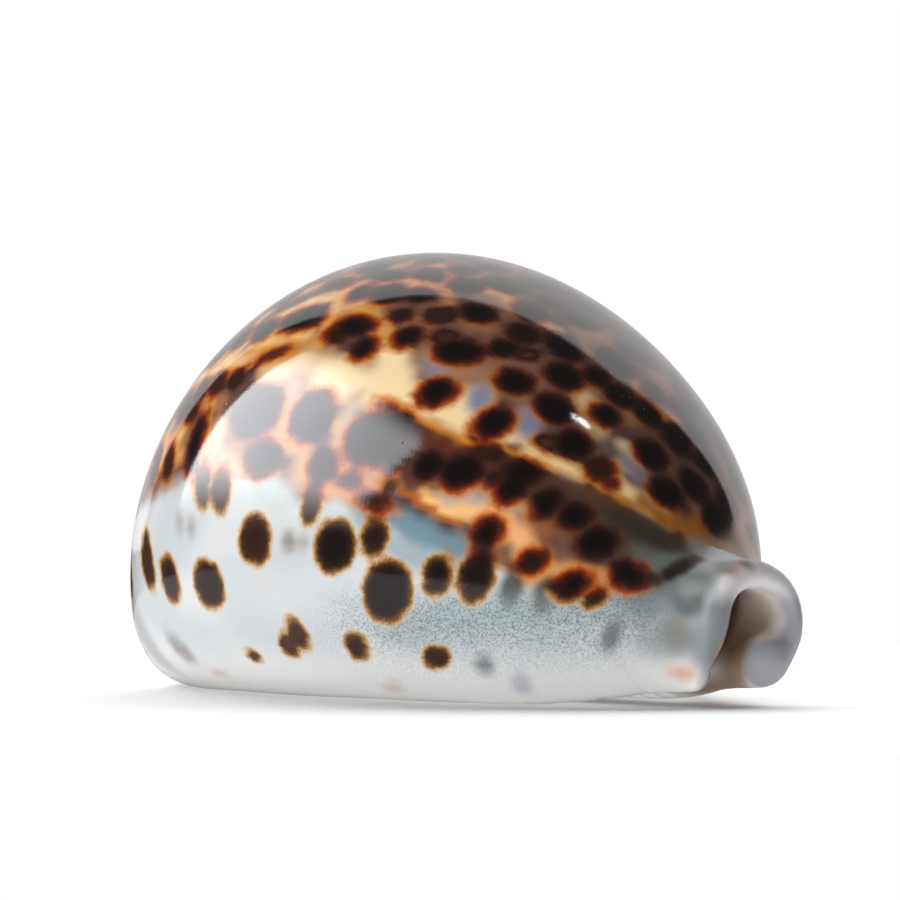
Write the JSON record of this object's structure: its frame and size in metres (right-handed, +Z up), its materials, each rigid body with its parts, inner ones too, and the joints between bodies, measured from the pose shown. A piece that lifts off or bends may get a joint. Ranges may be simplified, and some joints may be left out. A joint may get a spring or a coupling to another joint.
{
  "type": "cowrie shell",
  "caption": "Large glossy cowrie shell lying on its base: egg-shaped spotted dome, narrow toothed aperture below, a canal at each end.",
  "frame": {"origin": "on the resting surface, under the middle of the shell's bounding box", "axes": "+X towards the front (siphon) canal, +Y towards the inner-lip side, +Z up from the base"},
  "size_m": [0.0922, 0.0628, 0.0508],
  "materials": {
    "shell": "natural enamel gloss, dark brown spots over amber and milky blue-white"
  },
  "bodies": {
    "root": {"shell": "shell"}
  },
  "joints": []
}
